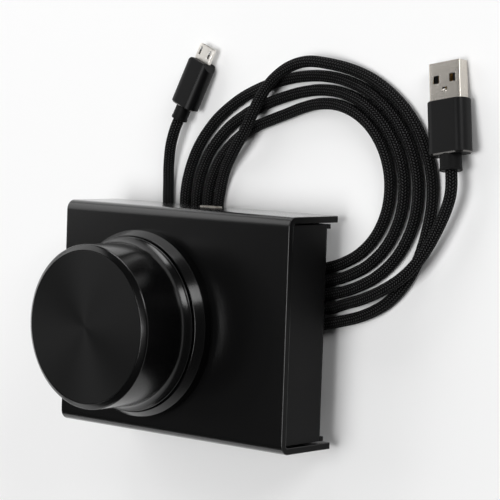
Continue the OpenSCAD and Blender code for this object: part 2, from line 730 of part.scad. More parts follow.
module micro_plug_shell() color("#cfccc6")
    at_micro_plug() translate([0, 0, micro_t / 2]) difference() {
        rotate([90, 0, 0]) mirror([0, 0, 1]) linear_extrude(micro_shell_len) micro_section(0);
        translate([0, 2, 0]) rotate([90, 0, 0]) mirror([0, 0, 1])
            linear_extrude(micro_shell_len) micro_section(shell_wall);
        for (sx = [-1, 1]) translate([sx * latch_x, 3.1, micro_shell_h / 2])
            cube([0.8, 2.8, 1], center = true);
    }

module micro_plug_latches() color("#9b9994")
    at_micro_plug() for (sx = [-1, 1])
        translate([sx * latch_x - 0.3, 2, micro_t / 2 - micro_shell_h / 2 + shell_wall])
            rotate([90, 0, 90]) linear_extrude(0.6)
            polygon([[0, 0], [2.4, 0], [2.4, micro_shell_h - shell_wall - 0.1],
                     [1.2, micro_shell_h - shell_wall + 0.15], [0, micro_shell_h - shell_wall - 0.6]]);

module usb_plug_housing() color("#1c1c1e")
    at_usb_plug() plug_body(usb_w, usb_t, 3.2, usb_len, plug_bevel, 0);

module usb_plug_collar() color("#141416")
    at_usb_plug() plug_collar(usb_t, usb_len, usb_collar_d, usb_collar_len);

module usb_plug_shell() color("#cbc3ba")
    at_usb_plug() translate([0, 0, usb_t / 2]) difference() {
        rotate([90, 0, 0]) mirror([0, 0, 1]) linear_extrude(usb_shell_len)
            rounded_bar(usb_shell_w, usb_shell_h, 0.5);
        translate([0, -eps, 0]) rotate([90, 0, 0]) mirror([0, 0, 1]) linear_extrude(usb_shell_len + 1)
            rounded_bar(usb_shell_w - 2 * shell_wall, usb_shell_h - 2 * shell_wall, 0.25);
        for (sx = [-1, 1]) translate([sx * 3.1, usb_shell_len - 5.4, 0])
            cube([2.3, 2.5, usb_shell_h + 2], center = true);
    }

module usb_plug_tongue() color("#1b1b1d")
    at_usb_plug() {
        floor_z = usb_t / 2 - usb_shell_h / 2 + shell_wall;
        inner_w = usb_shell_w - 2 * shell_wall - 0.6;
        translate([-inner_w / 2, 0, floor_z]) cube([inner_w, usb_shell_len - 0.6, 1.7]);
        translate([-inner_w / 2, 0, floor_z]) cube([inner_w, 1.4, usb_shell_h - 2 * shell_wall - 0.1]);
    }

module usb_plug_contacts() color("#d6b25a")
    at_usb_plug() {
        top_z = usb_t / 2 - usb_shell_h / 2 + shell_wall + 1.7;
        for (x = [-3.5, -1, 1, 3.5])
            translate([x - 0.5, 1.4, top_z]) cube([1, usb_shell_len - 3, 0.15]);
    }

top_cover();
base_pan();
cover_standoffs();
foot_front_left();
foot_front_right();
foot_rear_left();
foot_rear_right();
foot_screws();
bezel_ring();
lock_washer();
encoder_nut();
encoder_bushing();
encoder_housing();
encoder_terminals();
encoder_board();
board_header();
main_board();
board_posts();
board_screws();
port_shell();
port_tongue();
controller_chip();
crystal_can();
chip_capacitors();
push_plunger();
encoder_shaft();
knob_shell();
knob_disc();
knob_hub();
knob_bush();
grub_screw();
cable_coil();
micro_lead();
usb_lead();
micro_plug_housing();
micro_plug_collar();
micro_plug_shell();
micro_plug_latches();
usb_plug_housing();
usb_plug_collar();
usb_plug_shell();
usb_plug_tongue();
usb_plug_contacts();
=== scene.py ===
import math

import bmesh
import bpy
from mathutils import Matrix, Vector


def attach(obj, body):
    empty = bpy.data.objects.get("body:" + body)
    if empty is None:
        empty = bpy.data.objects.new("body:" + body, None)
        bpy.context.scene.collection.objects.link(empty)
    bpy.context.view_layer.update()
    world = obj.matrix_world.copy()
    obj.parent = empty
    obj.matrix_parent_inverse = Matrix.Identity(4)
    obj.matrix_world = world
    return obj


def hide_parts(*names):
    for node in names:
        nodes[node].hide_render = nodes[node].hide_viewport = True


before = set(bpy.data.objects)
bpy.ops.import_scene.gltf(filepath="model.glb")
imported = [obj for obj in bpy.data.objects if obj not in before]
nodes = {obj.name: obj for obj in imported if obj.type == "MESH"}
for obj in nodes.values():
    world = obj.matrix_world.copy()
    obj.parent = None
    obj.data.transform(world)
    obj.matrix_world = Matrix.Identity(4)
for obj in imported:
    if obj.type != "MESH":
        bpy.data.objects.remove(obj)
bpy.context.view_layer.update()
MM = 0.001

# ---- Camera --------------------------------------------------------------
# The photograph looks down on the desk from the right at 49 degrees, with the
# port side up in the picture. The lens is long: the case hardly tapers.
lens = bpy.data.cameras.new("camera")
lens.lens = 164.07
lens.sensor_width = 36
lens.clip_start, lens.clip_end = 0.05, 20
camera = bpy.data.objects.new("camera", lens)
camera.location = (0.51112, 0.07666, 0.57846)
camera.rotation_euler = [math.radians(a) for a in (-2.2368, 41.0995, 2.5964)]
bpy.context.scene.collection.objects.link(camera)
bpy.context.scene.camera = camera
bpy.context.scene.view_settings.view_transform = "Standard"

# ---- Braided cable -------------------------------------------------------
# A soft cord in a woven black nylon sleeve, 3.8 mm thick and 1.2 m long, wound in
# a flat spiral on the desk. Its two leads cross over the turns, each to its plug.
CABLE_D, CABLE_SIDES, RING_GAP = 3.8, 20, 0.9
COIL_CENTRE, COIL_ZERO, COIL_FROM, COIL_TO, COIL_STEP = (33, 47), 170, 200, 1365, 15
COIL_WAVES = (29.4, -0.9, -3.9, 4.6, 3.7, -0.8, -1.2)
PITCH_WAVES = (5.1, -0.26, 0.25, 0.43, -0.4, 0.33, -0.03)


def waves(sizes, angle):
    """A mean and three waves round the circle, each a cosine and a sine."""
    turn = math.radians(angle)
    return sizes[0] + sum(sizes[2 * k - 1] * math.cos(k * turn)
                          + sizes[2 * k] * math.sin(k * turn) for k in (1, 2, 3))


def coil_point(angle):
    r = waves(COIL_WAVES, angle) + (angle - COIL_ZERO) / 360 * waves(PITCH_WAVES, angle)
    turn = math.radians(angle)
    return Vector((COIL_CENTRE[0] + r * math.cos(turn), COIL_CENTRE[1] + r * math.sin(turn),
                   CABLE_D / 2))


def coil_heading(angle):
    return (coil_point(angle + 1) - coil_point(angle - 1)).normalized()


def lay(place, turn, dip):
    """Takes a plug from its own axes, in mm with the mouth towards +Y, to where it lies."""
    return (Matrix.Scale(MM, 4) @ Matrix.Translation(place)
            @ Matrix.Rotation(math.radians(turn), 4, "Z")
            @ Matrix.Rotation(math.radians(dip), 4, "X"))


def plug_exit(matrix, back, height):
    """The end of a plug's collar and the way the cable leaves it, in mm."""
    end = matrix @ Vector((0, -back, height)) / MM
    return end, (end - matrix @ Vector((0, 0, height)) / MM).normalized()


# Each plug rests on the lower front edge of its housing: the thickness and length
# of the housing, the collar's length, and that edge's place, heading and dip
USB_T, USB_LEN, USB_COLLAR_LEN = 7.4, 17.2, 5.0
usb_lay = lay((91.4, 76, 0), 10, -7)
MICRO_T, MICRO_LEN, MICRO_COLLAR_LEN = 6.4, 17.0, 4.8
micro_lay = lay((-13, 86.6, 0), -23, -5)
usb_end, usb_way = plug_exit(usb_lay, USB_LEN + USB_COLLAR_LEN, USB_T / 2)
micro_end, micro_way = plug_exit(micro_lay, MICRO_LEN + MICRO_COLLAR_LEN, MICRO_T / 2)

MICRO_LEAD = (
    (-25.3, 57.6, 4.7), (-27.4, 51, 3.1), (-28.3, 44.5, 2), (-28.2, 37.5, 1.9),
    (-27.2, 29.5, 1.9), (-24.3, 21.6, 1.9), (-15.9, 12.7, 1.9), (-7, 5.5, 1.9),
    (3.2, 1.1, 1.9), (13.7, -0.8, 1.9), (23.7, -0.8, 1.9), (33, 0.3, 1.9), (41.8, 1.8, 1.9),
    (50.5, 3.7, 1.9), (59.4, 6.3, 1.9), (68.1, 10.7, 1.9), (75.3, 17.4, 1.9),
    (80.5, 25.9, 1.9), (83.6, 35.3, 1.9), (85.1, 45.2, 1.9), (83.9, 55.1, 1.9),
    (80.1, 64.2, 1.9), (74.4, 71.9, 1.9), (67.3, 77.9, 1.9), (59.6, 82.3, 1.9),
    (51.7, 85.3, 3.2), (43.7, 87, 5.3), (35.8, 87.5, 6.4), (28.3, 85.6, 6.4),
    (21.8, 81.6, 6.4), (16.8, 76.2, 6.4), (13.3, 70.5, 6.4), (10.5, 65.2, 6.4),
    (7.4, 60.6, 6.3), (3.6, 56, 5.3), (-0.9, 50.6, 3.4), (-4, 43.8, 2))
USB_LEAD = (
    (52.5, 9.5, 2.6), (61, 11.8, 5.2), (69.5, 15.2, 6.4), (77, 19.6, 6.4), (82.7, 24.6, 6.4),
    (87.4, 30.6, 6.4), (91.1, 36.8, 6.4), (94, 42.6, 6.6), (95.6, 47.2, 6.9))
route = [micro_end, micro_end + CABLE_D * micro_way]
route += [Vector(p) for p in MICRO_LEAD]
route.append(coil_point(COIL_FROM) - CABLE_D * coil_heading(COIL_FROM))
route += [coil_point(angle) for angle in [*range(COIL_FROM, COIL_TO, COIL_STEP), COIL_TO]]
route.append(coil_point(COIL_TO) + CABLE_D * coil_heading(COIL_TO))
route += [Vector(p) for p in USB_LEAD]
route += [usb_end + CABLE_D * usb_way, usb_end]


def smooth_line(points, step, cuts=16):
    """The points joined by one smooth line, cut into even steps, and its length."""
    fine = []
    for i in range(len(points) - 1):
        p0, p3 = points[max(i - 1, 0)], points[min(i + 2, len(points) - 1)]
        p1, p2 = points[i], points[i + 1]
        for k in range(cuts):
            t = k / cuts
            fine.append(0.5 * (2 * p1 + (p2 - p0) * t + (2 * p0 - 5 * p1 + 4 * p2 - p3) * t * t
                               + (3 * p1 - p0 - 3 * p2 + p3) * t * t * t))
    fine.append(points[-1])
    length = sum((b - a).length for a, b in zip(fine, fine[1:]))
    count, even, passed, k = round(length / step), [fine[0]], 0, 0
    for i in range(1, count):
        while passed + (fine[k + 1] - fine[k]).length < length * i / count:
            passed += (fine[k + 1] - fine[k]).length
            k += 1
        share = (length * i / count - passed) / (fine[k + 1] - fine[k]).length
        even.append(fine[k].lerp(fine[k + 1], share))
    return even + [fine[-1]], length


centre_line, cable_length = smooth_line(route, RING_GAP)
for spot in centre_line:
    spot.z = max(spot.z, CABLE_D / 2)
bm = bmesh.new()
run_of = bm.loops.layers.uv.new("sleeve")
rings = []
for i, spot in enumerate(centre_line):
    ahead, behind = centre_line[min(i + 1, len(centre_line) - 1)], centre_line[max(i - 1, 0)]
    way = (ahead - behind).normalized()
    side = way.cross(Vector((0, 0, 1))).normalized()
    turned = Matrix((side, side.cross(way), way)).transposed().to_4x4()
    rings.append(bmesh.ops.create_circle(bm, segments=CABLE_SIDES, radius=CABLE_D / 2,
                                         matrix=Matrix.Translation(spot) @ turned)["verts"])
for i, (near, far) in enumerate(zip(rings, rings[1:])):
    for k in range(CABLE_SIDES):
        m = (k + 1) % CABLE_SIDES
        face = bm.faces.new((near[k], near[m], far[m], far[k]))
        for loop, (a, b) in zip(face.loops, ((i, k), (i, k + 1), (i + 1, k + 1), (i + 1, k))):
            loop[run_of].uv = (a / (len(rings) - 1), b / CABLE_SIDES)
for ring in (rings[0], rings[-1]):
    bm.faces.new(ring)


def piece(bm, name, looks, body, slot, *replaced, place=Matrix.Scale(MM, 4), crease=35,
          weighted=True):
    """Turns a finished bmesh, in mm, into a shown piece that rides on a body."""
    bmesh.ops.transform(bm, matrix=place, verts=bm.verts)
    bmesh.ops.recalc_face_normals(bm, faces=bm.faces)
    mesh = bpy.data.meshes.new(name)
    bm.to_mesh(mesh)
    bm.free()
    for look in looks if isinstance(looks, list) else [looks]:
        mesh.materials.append(look)
    mesh.shade_smooth()
    mesh.set_sharp_from_angle(angle=math.radians(crease))
    made = bpy.data.objects.new(name, mesh)
    bpy.context.scene.collection.objects.link(made)
    if weighted:
        made.modifiers.new("flat faces stay flat", "WEIGHTED_NORMAL").keep_sharp = True
    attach(made, body)
    if replaced:
        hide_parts(*replaced)
    return made


def finish(name, colour, rough, metallic=0.0, specular=0.5):
    """A material with its plain values set, its node tree, and its shader."""
    made = bpy.data.materials.new(name)
    made.use_nodes = True
    shader = made.node_tree.nodes["Principled BSDF"]
    shader.inputs["Base Color"].default_value = (*colour, 1)
    shader.inputs["Roughness"].default_value = rough
    shader.inputs["Metallic"].default_value = metallic
    shader.inputs["Specular IOR Level"].default_value = specular
    return made, made.node_tree, shader


def feed(tree, kind, setup=None, **sockets):
    """Adds a node, with sockets by name or number set to a value or joined to an output."""
    node = tree.nodes.new("ShaderNode" + kind)
    for key, value in (setup or {}).items():
        setattr(node, key, value)
    for key, value in sockets.items():
        numbered = key[0] == "i" and key[1:].isdigit()
        socket = node.inputs[int(key[1:]) if numbered else key.replace("_", " ")]
        if isinstance(value, bpy.types.NodeSocket):
            tree.links.new(value, socket)
        else:
            socket.default_value = value
    return node.outputs[0]


def calc(tree, operation, a, b=0.0, c=0.0):
    return feed(tree, "Math", {"operation": operation}, i0=a, i1=b, i2=c)


def hump(tree, share, count=1):
    """Rises from nought to one and back, so many times over a share from 0 to 1."""
    turn = calc(tree, "MULTIPLY", share, count * math.pi)
    return calc(tree, "ABSOLUTE", calc(tree, "SINE", turn))


def blend_colour(tree, amount, dark, light):
    """A colour between two, by the output that is given."""
    node = tree.nodes.new("ShaderNodeMix")
    node.data_type = "RGBA"
    tree.links.new(amount, node.inputs[0])
    node.inputs[6].default_value = (*dark, 1)
    node.inputs[7].default_value = (*light, 1)
    return node.outputs[2]


# The sleeve's yarns run both ways round on the bias, each over two and under two.
# The lie repeats every four yarns. Painted highlight on each crown, painted shade between them.
YARN_COLUMNS, YARN_PITCH, YARN_THREADS, REPEAT = 12, 0.95, 3, 4.0
YARN_DEPTH, FUZZ_SCALE = 0.0003, 2600.0
YARN_PAINTED_SHADE, YARN_PAINTED_HIGHLIGHT = (0.0003, 0.0003, 0.0003), (0.062, 0.062, 0.063)
nylon, tree, shader = finish("black_nylon_braid", (0.003, 0.003, 0.003), 0.6, specular=0.03)
sleeve = feed(tree, "SeparateXYZ", i0=tree.nodes.new("ShaderNodeUVMap").outputs[0])
around = calc(tree, "MULTIPLY", tree.nodes["Separate XYZ"].outputs[1], YARN_COLUMNS)
along = calc(tree, "MULTIPLY", sleeve, cable_length / YARN_PITCH)
left, right = calc(tree, "ADD", along, around), calc(tree, "SUBTRACT", along, around)
left_no, right_no = calc(tree, "FLOOR", left), calc(tree, "FLOOR", right)
apart = calc(tree, "FLOORED_MODULO", calc(tree, "SUBTRACT", left_no, right_no), REPEAT)
under = calc(tree, "GREATER_THAN", apart, 1.5)
left_run = calc(tree, "ADD", calc(tree, "SUBTRACT", left_no, right), 1.0)
left_run = calc(tree, "FLOORED_MODULO", left_run, REPEAT)
right_run = calc(tree, "FLOORED_MODULO", calc(tree, "SUBTRACT", left, right_no), REPEAT)
right_run = calc(tree, "SUBTRACT", right_run, 2.0)
width_part = feed(tree, "Mix", i0=under, i2=calc(tree, "FRACT", left),
                  i3=calc(tree, "FRACT", right))
run_part = calc(tree, "MULTIPLY", feed(tree, "Mix", i0=under, i2=left_run, i3=right_run), 0.5)
crown, arch = calc(tree, "SQRT", hump(tree, width_part)), hump(tree, run_part)
height = calc(tree, "MULTIPLY", crown, calc(tree, "MULTIPLY_ADD", arch, 0.6, 0.4))
height = calc(tree, "MULTIPLY_ADD", hump(tree, width_part, YARN_THREADS), 0.15, height)
tree.links.new(feed(tree, "Bump", Strength=1.0, Distance=YARN_DEPTH, Height=height),
               shader.inputs["Normal"])
fuzz = feed(tree, "TexNoise", Scale=FUZZ_SCALE, Detail=2.0,
            Vector=tree.nodes.new("ShaderNodeTexCoord").outputs["Object"])
# Base colour: a painted highlight on the yarn crowns over painted shade in the gaps
painted_highlight = calc(tree, "MULTIPLY", calc(tree, "POWER", crown, 6.0), calc(tree, "POWER", arch, 2.0))
uneven = calc(tree, "MULTIPLY_ADD", calc(tree, "SUBTRACT", fuzz, 0.5), 2.5, 0.9)
tree.links.new(blend_colour(tree, calc(tree, "MULTIPLY", painted_highlight, uneven), YARN_PAINTED_SHADE, YARN_PAINTED_HIGHLIGHT),
               shader.inputs["Base Color"])
cable = piece(bm, "cable", nylon, "case", "cable_braid", "cable_coil", "micro_lead", "usb_lead",
              crease=60, weighted=False)

# ---- Micro-USB plug ------------------------------------------------------
# An aluminium sleeve with clipped front corners, dyed matt black; its rear rim is
# cut bright after dyeing. The nickelled shell holds two spring latches, and a
# rubber collar keeps the cable from kinking.
MICRO_W, MICRO_CORNER, MICRO_CLIP = 10.4, 2.9, 2.2
RIM_CUT, MOUTH_EASE = 0.45, 0.4


def round_off(bm, parts, size, segments, affect="EDGES"):
    return bmesh.ops.bevel(bm, geom=parts, offset=size, segments=segments, profile=0.5,
                           material=-1, affect=affect)["faces"]


def plug_section(bm, width, thick, corner, segments):
    """The plug's cross-section at its mouth: a flat bar with round corners, facing -Y."""
    bar = bmesh.ops.create_grid(bm, x_segments=1, y_segments=1, size=0.5)["verts"]
    bmesh.ops.scale(bm, vec=(width, thick, 1), verts=bar)
    bmesh.ops.rotate(bm, matrix=Matrix.Rotation(math.radians(90), 3, "X"), verts=bar)
    round_off(bm, bar, corner, segments, "VERTICES")


def settle(bm):
    """Lays the edges and faces down again in the order of their corners. An extrusion, spin,
    fill or wall leaves them in an order that changes from run to run, and later cuts follow
    it. The two plug shells go without: it would shift the corners of their edge breaks."""
    bm.verts.index_update()
    rings = []
    for face in bm.faces:
        ring = [v.index for v in face.verts]
        first = ring.index(min(ring))
        rings.append(ring[first:] + ring[:first])
    for face in bm.faces[:]:
        bm.faces.remove(face)
    for edge in bm.edges[:]:
        bm.edges.remove(edge)
    corners = bm.verts[:]
    for ring in sorted(rings):
        bm.faces.new([corners[i] for i in ring])
    bm.normal_update()


def draw_out(bm, way):
    """Extrudes a plug's section into a solid bar."""
    made = bmesh.ops.extrude_face_region(bm, geom=bm.faces[:])["geom"]
    bmesh.ops.translate(bm, vec=way, verts=[g for g in made if isinstance(g, bmesh.types.BMVert)])


def rim_at(bm, y):
    return [e for e in bm.edges if all(abs(v.co.y - y) < 1e-4 for v in e.verts)]


def plug_sleeve(width, thick, corner, length, clip=0.0):
    """A plug's housing, with its bright rear rim and, where asked for, clipped corners."""
    bm = bmesh.new()
    plug_section(bm, width, thick, corner, 10)
    draw_out(bm, (0, -length, 0))
    settle(bm)
    for side in (-1, 1) if clip else ():
        bmesh.ops.bisect_plane(bm, geom=bm.verts[:] + bm.edges[:] + bm.faces[:], clear_outer=True,
                               plane_co=(side * width / 2, -clip, 0), plane_no=(side, 1, 0))
        bmesh.ops.holes_fill(bm, edges=[e for e in bm.edges if e.is_boundary])
    bmesh.ops.recalc_face_normals(bm, faces=bm.faces)
    for face in round_off(bm, rim_at(bm, -length), RIM_CUT, 1):
        face.material_index = 1
    round_off(bm, rim_at(bm, 0), MOUTH_EASE, 3)
    bmesh.ops.translate(bm, vec=(0, 0, thick / 2), verts=bm.verts)
    return bm


GRAIN_DEPTH, CLOUD_SCALE = 0.00003, 35.0


def grained(name, colour, rough, specular=0.5, metallic=0.0, grain=0.25, size=0.00025,
            drift=0.08, fleck=0.2):
    """An even skin with a fine grain: blasted and dyed metal, moulded plastic or plating."""
    made, tree, shader = finish(name, colour, rough, metallic, specular)
    spot = tree.nodes.new("ShaderNodeTexCoord").outputs["Object"]
    fine = feed(tree, "TexNoise", Vector=spot, Scale=1 / size, Detail=3.0)
    broad = feed(tree, "TexNoise", Vector=spot, Scale=CLOUD_SCALE, Detail=2.0)
    tree.links.new(feed(tree, "Bump", Strength=grain, Distance=GRAIN_DEPTH, Height=fine),
                   shader.inputs["Normal"])
    gloss = calc(tree, "MULTIPLY_ADD", calc(tree, "SUBTRACT", broad, 0.5), drift * 2, rough)
    tree.links.new(calc(tree, "MULTIPLY_ADD", calc(tree, "SUBTRACT", fine, 0.5), drift, gloss),
                   shader.inputs["Roughness"])
    dark, light = [c * (1 - fleck) for c in colour], [c * (1 + fleck) for c in colour]
    tree.links.new(blend_colour(tree, fine, dark, light), shader.inputs["Base Color"])
    return made


matt_black = grained("matt_black_dye", (0.002, 0.002, 0.0022), 0.42, specular=0.17)
bright_cut = grained("bright_cut_rim", (0.14, 0.135, 0.13), 0.16, metallic=1.0, grain=0.1)
pale_nickel = grained("pale_nickel_plate", (0.82, 0.79, 0.74), 0.36, metallic=1.0, grain=0.12,
                      fleck=0.05)
nickel = grained("nickel_plate", (0.6, 0.565, 0.515), 0.27, metallic=1.0, grain=0.12, fleck=0.05)
spring_steel = grained("spring_steel", (0.42, 0.42, 0.42), 0.3, metallic=1.0, fleck=0.08)
soft_black = grained("soft_black_rubber", (0.0025, 0.0025, 0.0025), 0.55, specular=0.12,
                     grain=0.4)
micro_sleeve = piece(plug_sleeve(MICRO_W, MICRO_T, MICRO_CORNER, MICRO_LEN, MICRO_CLIP),
                     "micro_plug_sleeve", [matt_black, bright_cut], "case", "plug_black",
                     "micro_plug_housing", place=micro_lay)


def turned_part(profile, ease=0.0, steps=96, min_turn=25, centre=(0, 0, 0)):
    """Spins a half-section, (radius, height) pairs in mm, round Z and eases its edges."""
    bm = bmesh.new()
    points = [bm.verts.new((r, 0, z)) for r, z in profile]
    closed = profile[0][0] > 0
    ends = points[1:] + points[:1] if closed else points[1:]
    lines = [bm.edges.new(pair) for pair in zip(points, ends)]
    bmesh.ops.spin(bm, geom=points + lines, cent=(0, 0, 0), axis=(0, 0, 1), angle=2 * math.pi,
                   steps=steps, use_merge=True)
    bmesh.ops.remove_doubles(bm, verts=bm.verts, dist=1e-4)
    settle(bm)
    bmesh.ops.recalc_face_normals(bm, faces=bm.faces)
    if ease:
        sharp = [e for e in bm.edges if len(e.link_faces) == 2
                 and e.calc_face_angle(0) > math.radians(min_turn)
                 and abs(e.verts[0].co.z - e.verts[1].co.z) < 1e-5]
        round_off(bm, sharp, ease, 3)
    bmesh.ops.translate(bm, vec=centre, verts=bm.verts)
    return bm


MICRO_COLLAR_D, COLLAR_EASE = 5.6, 0.1
LIP_H, LIP_LEN, CABLE_RECESS = 0.12, 0.8, 0.5


def strain_collar(diameter, length, back, height):
    """A short rubber sleeve behind a plug, with a lip where the cable comes out."""
    r = diameter / 2
    bm = turned_part([(0, 0), (r - LIP_H, 0), (r - LIP_H, length - LIP_LEN - 0.1),
                      (r, length - LIP_LEN), (r, length), (CABLE_D / 2 + 0.25, length),
                      (CABLE_D / 2 + 0.05, length - CABLE_RECESS), (0, length - CABLE_RECESS)],
                     ease=COLLAR_EASE, steps=64)
    bmesh.ops.rotate(bm, matrix=Matrix.Rotation(math.radians(90), 3, "X"), verts=bm.verts)
    bmesh.ops.translate(bm, vec=(0, -back, height), verts=bm.verts)
    return bm


micro_collar = piece(strain_collar(MICRO_COLLAR_D, MICRO_COLLAR_LEN, MICRO_LEN, MICRO_T / 2),
                     "micro_plug_boot", soft_black, "case", "collar_black", "micro_plug_collar",
                     place=micro_lay)


def once(items):
    """Each item once, in the order they come."""
    return list(dict.fromkeys(items))


def score(bm, faces, spot, way):
    """Cuts some faces along a plane, and leaves both sides in place."""
    rims, corners = once(e for f in faces for e in f.edges), once(v for f in faces for v in f.verts)
    bmesh.ops.bisect_plane(bm, geom=faces + rims + corners, plane_co=spot, plane_no=way)


def slot_through(bm, x, y, width, length, above):
    """Cuts a straight window out of a flat wall that lies above a given height."""
    for spot, way in (((x - width / 2, 0, 0), (1, 0, 0)), ((x + width / 2, 0, 0), (1, 0, 0)),
                      ((0, y - length / 2, 0), (0, 1, 0)), ((0, y + length / 2, 0), (0, 1, 0))):
        score(bm, [f for f in bm.faces if all(v.co.z > above for v in f.verts)], spot, way)
    gone = []
    for face in bm.faces:
        middle = face.calc_center_median()
        if middle.z > above and abs(middle.x - x) < width / 2 and abs(middle.y - y) < length / 2:
            gone.append(face)
    bmesh.ops.delete(bm, geom=gone, context="FACES")


SHELL_T, RAW_EASE, INTO_WALL = 0.3, 0.05, 0.05


def shell_wall(bm, height):
    """Gives a drawn shell its wall, on the inside, and breaks its raw edges."""
    bmesh.ops.recalc_face_normals(bm, faces=bm.faces)
    if sum(f.normal.dot(f.calc_center_median() * Vector((1, 0, 1))) for f in bm.faces) < 0:
        bmesh.ops.reverse_faces(bm, faces=bm.faces)
    bmesh.ops.solidify(bm, geom=bm.faces[:], thickness=SHELL_T)
    round_off(bm, [e for e in bm.edges if len(e.link_faces) == 2
                   and e.calc_face_angle(0) > math.radians(60)], RAW_EASE, 2)
    bmesh.ops.translate(bm, vec=(0, 0, height), verts=bm.verts)


def draw_tube(bm, length):
    """Draws a plug's section out into a tube that is open at both ends."""
    draw_out(bm, (0, length, 0))
    ends = [f for f in bm.faces if all(abs(v.co.y - f.verts[0].co.y) < 1e-4 for v in f.verts)]
    bmesh.ops.delete(bm, geom=ends, context="FACES_ONLY")


# The shell: half its width and height, its length, and its two windows for latches
MICRO_SHELL_X, MICRO_SHELL_Z, MICRO_SHELL_CUT, MICRO_SHELL_LEN = 3.425, 0.9, 0.6, 5.3
LATCH_X, LATCH_Y, LATCH_W, LATCH_LEN = 2.1, 3.1, 0.8, 2.8
bm = bmesh.new()
corners = [bm.verts.new((x, 0, z)) for x, z in (
    (-MICRO_SHELL_X, MICRO_SHELL_Z), (MICRO_SHELL_X, MICRO_SHELL_Z),
    (MICRO_SHELL_X, MICRO_SHELL_CUT - MICRO_SHELL_Z),
    (MICRO_SHELL_X - MICRO_SHELL_CUT, -MICRO_SHELL_Z),
    (MICRO_SHELL_CUT - MICRO_SHELL_X, -MICRO_SHELL_Z),
    (-MICRO_SHELL_X, MICRO_SHELL_CUT - MICRO_SHELL_Z))]
bm.faces.new(corners)
round_off(bm, corners, 0.22, 4, "VERTICES")
draw_tube(bm, MICRO_SHELL_LEN)
for x in (-LATCH_X, LATCH_X):
    slot_through(bm, x, LATCH_Y, LATCH_W, LATCH_LEN, MICRO_SHELL_Z - INTO_WALL)
shell_wall(bm, MICRO_T / 2)
micro_shell = piece(bm, "micro_plug_case", pale_nickel, "case", "nickel", "micro_plug_shell",
                    place=micro_lay)


def dress(look, *names):
    """Gives CAD nodes that stay in view their finish."""
    for name in names:
        nodes[name].data.materials.clear()
        nodes[name].data.materials.append(look)


dress(spring_steel, "micro_plug_latches")

# The contact tongue inside the shell: a moulded strip with five gilt blades
gilt = grained("gilt_contact", (0.85, 0.6, 0.26), 0.22, metallic=1.0, fleck=0.05)
moulded_black = grained("moulded_black", (0.012, 0.012, 0.0125), 0.48, specular=0.4, grain=0.35,
                        size=0.0004)
MICRO_CORE_Z, MICRO_CORE_T, BLADES, BLADE_PITCH = 2.65, 0.55, 5, 0.65


def block(bm, low, high, ease=0.0, mark=0):
    """A rectangular block between two corners, its edges broken."""
    made = bmesh.ops.create_cube(bm, size=1)["verts"]
    bmesh.ops.scale(bm, vec=[b - a for a, b in zip(low, high)], verts=made)
    bmesh.ops.translate(bm, vec=[(a + b) / 2 for a, b in zip(low, high)], verts=made)
    for face in once(f for v in made for f in v.link_faces):
        face.material_index = mark
    if ease:
        round_off(bm, once(e for v in made for e in v.link_edges), ease, 2)


bm = bmesh.new()
block(bm, (-1.6, 0.2, MICRO_CORE_Z), (1.6, 4.9, MICRO_CORE_Z + MICRO_CORE_T), 0.06)
for i in range(BLADES):
    x = (i - 2) * BLADE_PITCH
    block(bm, (x - 0.15, 0.6, MICRO_CORE_Z + 0.5), (x + 0.15, 4.7, MICRO_CORE_Z + 0.62), 0.03,
          mark=1)
micro_core = piece(bm, "micro_plug_core", [moulded_black, gilt], "case", "black_plastic",
                   place=micro_lay)

# ---- USB-A plug ----------------------------------------------------------
# The same black sleeve and rubber collar, larger. The shell is folded from one
# nickelled strip, with two windows in each broad side for the socket's springs
# and a small pressed lug that locks it to the moulding inside.
USB_W, USB_CORNER, USB_COLLAR_D = 14.5, 3.2, 7.2
usb_sleeve = piece(plug_sleeve(USB_W, USB_T, USB_CORNER, USB_LEN), "usb_plug_sleeve",
                   [matt_black, bright_cut], "case", "plug_black", "usb_plug_housing",
                   place=usb_lay)
usb_collar = piece(strain_collar(USB_COLLAR_D, USB_COLLAR_LEN, USB_LEN, USB_T / 2),
                   "usb_plug_boot", soft_black, "case", "collar_black", "usb_plug_collar",
                   place=usb_lay)

USB_SHELL_W, USB_SHELL_H, USB_SHELL_CORNER, USB_SHELL_LEN = 12.0, 4.5, 0.5, 12.0
WINDOW_X, WINDOW_Y, WINDOW_W, WINDOW_LEN = 3.1, 6.6, 2.3, 2.5
LUG_SLOT_Y, LUG_SLOT_W, LUG_SLOT_LEN = 3.3, 2.0, 1.4
bm = bmesh.new()
plug_section(bm, USB_SHELL_W, USB_SHELL_H, USB_SHELL_CORNER, 5)
draw_tube(bm, USB_SHELL_LEN)
broad_side = USB_SHELL_H / 2 - INTO_WALL
for turn in (0, 1):
    for x in (-WINDOW_X, WINDOW_X):
        slot_through(bm, x, WINDOW_Y, WINDOW_W, WINDOW_LEN, broad_side)
    slot_through(bm, 0, LUG_SLOT_Y, LUG_SLOT_W, LUG_SLOT_LEN, broad_side)
    bmesh.ops.rotate(bm, matrix=Matrix.Rotation(math.pi, 3, "Y"), verts=bm.verts)
shell_wall(bm, USB_T / 2)
usb_shell = piece(bm, "usb_plug_case", nickel, "case", "nickel", "usb_plug_shell",
                  place=usb_lay)
# The pressed lugs: a tongue of metal left in each small slot, a little proud of it
LUG_X, LUG_FROM, LUG_TO, LUG_Z, LUG_HALF_T = 0.75, 2.6, 3.4, 2.22, 0.12
bm = bmesh.new()
for side in (1, -1):
    block(bm, (-LUG_X, LUG_FROM, side * LUG_Z - LUG_HALF_T),
          (LUG_X, LUG_TO, side * LUG_Z + LUG_HALF_T), 0.1)
bmesh.ops.translate(bm, vec=(0, 0, USB_T / 2), verts=bm.verts)
usb_lugs = piece(bm, "usb_plug_lugs", nickel, "case", "nickel", place=usb_lay)
dress(moulded_black, "usb_plug_tongue")
dress(gilt, "usb_plug_contacts")

